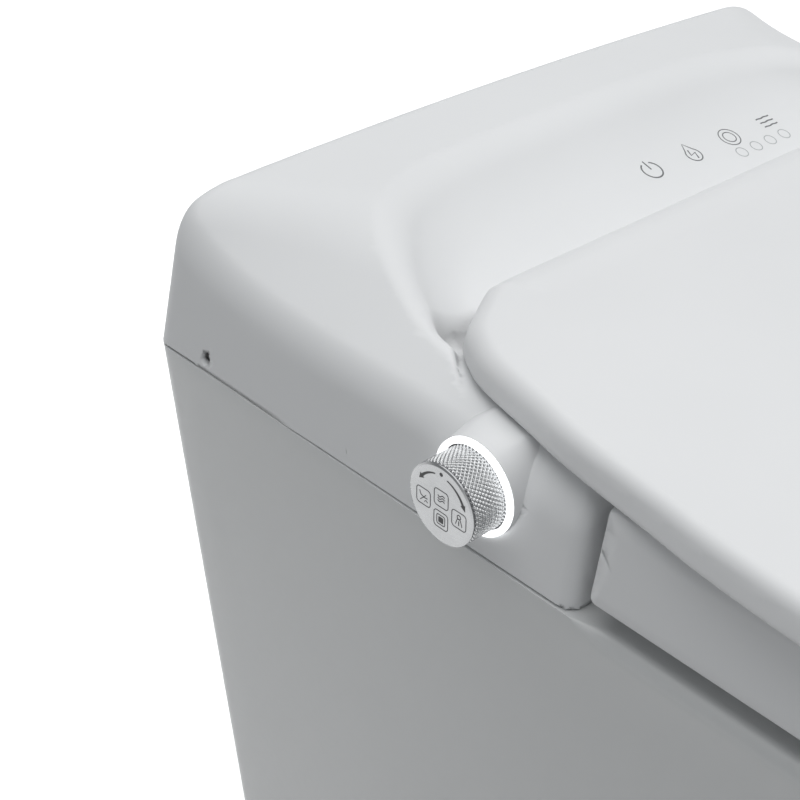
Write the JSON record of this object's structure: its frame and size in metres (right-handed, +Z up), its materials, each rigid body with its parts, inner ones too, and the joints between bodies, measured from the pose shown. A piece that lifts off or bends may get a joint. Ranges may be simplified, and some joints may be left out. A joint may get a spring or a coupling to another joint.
{
  "type": "electric bidet seat",
  "caption": "Electric bidet seat unit on its skirted ceramic bowl: hinged lid and ring, side control knob with lit ring, spray wands and warm-air dryer.",
  "frame": {"origin": "centre of the waste outlet at floor level", "axes": "+Z up, +Y towards the wall behind, +X to the right seen from the front"},
  "size_m": [0.416, 0.69, 0.451],
  "materials": {
    "ceramic": "satin white glaze",
    "housing_plastic": "satin white moulding",
    "lid_plastic": "satin white moulding",
    "seat_plastic": "satin white moulding",
    "white_plastic": "satin white moulding",
    "inner_plastic": "natural white moulding",
    "grey_plastic": "grey moulding",
    "black_plastic": "black moulding",
    "rubber": "matt black rubber",
    "rubber_white": "matt white rubber",
    "steel": "zinc plated",
    "nozzle_steel": "polished stainless",
    "knob_metal": "brushed and knurled",
    "brass": "turned",
    "foil": "aluminium foil",
    "board": "green circuit board",
    "light": "frosted light guide"
  },
  "bodies": {
    "base": {"base_plate": "inner_plastic", "ceramic_body": "ceramic", "control_board": "board", "cover_screws": "steel", "deck_gasket": "rubber", "deodoriser_casing": "inner_plastic", "deodoriser_filter": "black_plastic", "dryer_casing": "black_plastic", "dryer_duct": "inner_plastic", "dryer_element": "steel", "dryer_motor": "steel", "front_wash_motor": "black_plastic", "hinge_pin_left": "steel", "hinge_pin_right": "steel", "inlet_valve": "inner_plastic", "knob_collar": "housing_plastic", "knob_encoder": "black_plastic", "knob_light_ring": "light", "lid_damper": "grey_plastic", "nozzle_guide": "inner_plastic", "outlet_seal": "rubber", "panel_board": "board", "power_gland": "rubber", "power_supply": "black_plastic", "rear_cover": "housing_plastic", "rear_wash_motor": "black_plastic", "seat_damper": "grey_plastic", "seat_mount_bolts": "steel", "supply_hose": "rubber_white", "wash_hose": "rubber_white", "water_heater": "grey_plastic", "water_inlet": "brass", "water_pump": "black_plastic"},
    "seat": {"seat_ring_upper": "seat_plastic", "seat_ring_lower": "seat_plastic", "seat_heater": "foil", "seat_bumpers": "rubber_white"},
    "lid": {"lid_outer": "lid_plastic", "lid_inner": "lid_plastic", "lid_bumpers": "rubber_white"},
    "knob_stem": {"knob_plunger": "steel"},
    "knob": {"knob_sleeve": "knob_metal", "knob_face": "knob_metal"},
    "rear_wand": {"rear_wash_nozzle": "nozzle_steel"},
    "front_wand": {"front_wash_nozzle": "nozzle_steel"},
    "rear_drive": {"rear_wash_roller": "rubber"},
    "front_drive": {"front_wash_roller": "rubber"},
    "blower": {"dryer_wheel": "inner_plastic"},
    "flap": {"dryer_flap": "white_plastic"},
    "fan": {"deodoriser_fan": "inner_plastic"}
  },
  "joints": [
    {"name": "seat_lift", "type": "hinge", "parent": "base", "child": "seat", "pos_m": [0, 0.151, 0.425], "axis": [-1, 0, 0], "range_deg": [0, 95]},
    {"name": "lid_open", "type": "hinge", "parent": "seat", "child": "lid", "pos_m": [0, 0.151, 0.425], "axis": [1, 0, 0], "range_deg": [-98, 0]},
    {"name": "knob_press", "type": "slide", "parent": "base", "child": "knob_stem", "axis": [1, 0, 0], "range_m": [0, 0.0015], "stiffness_N_per_m": 1200},
    {"name": "knob_turn", "type": "hinge", "parent": "knob_stem", "child": "knob", "pos_m": [-0.2, 0.106, 0.41], "axis": [-1, 0, 0], "range_deg": [-40, 40], "stiffness_Nm_per_rad": 0.1},
    {"name": "rear_wand_extend", "type": "slide", "parent": "base", "child": "rear_wand", "axis": [0, -0.9659, -0.2588], "range_m": [0, 0.075]},
    {"name": "front_wand_extend", "type": "slide", "parent": "base", "child": "front_wand", "axis": [0, -0.9659, -0.2588], "range_m": [0, 0.075]},
    {"name": "rear_roller_spin", "type": "hinge", "parent": "base", "child": "rear_drive", "pos_m": [-0.0217, 0.08996, 0.39453], "axis": [0, -0.2588, 0.9659], "range_deg": [-862, 0]},
    {"name": "front_roller_spin", "type": "hinge", "parent": "base", "child": "front_drive", "pos_m": [0.0217, 0.08996, 0.39453], "axis": [0, -0.2588, 0.9659], "range_deg": [0, 862]},
    {"name": "dryer_flap_swing", "type": "hinge", "parent": "base", "child": "flap", "pos_m": [0.05, 0.068, 0.3995], "axis": [-1, 0, 0], "range_deg": [0, 70]},
    {"name": "dryer_wheel_spin", "type": "hinge", "parent": "base", "child": "blower", "pos_m": [0.104, 0.228, 0.4], "axis": [0, 0, 1], "continuous": true},
    {"name": "deodoriser_fan_spin", "type": "hinge", "parent": "base", "child": "fan", "pos_m": [-0.082, 0.18, 0.4], "axis": [0, 0, 1], "continuous": true}
  ],
  "couplings": [
    {"joint": "rear_roller_spin", "follows": "rear_wand_extend", "rad_per_m": -200},
    {"joint": "front_roller_spin", "follows": "front_wand_extend", "rad_per_m": 200}
  ]
}
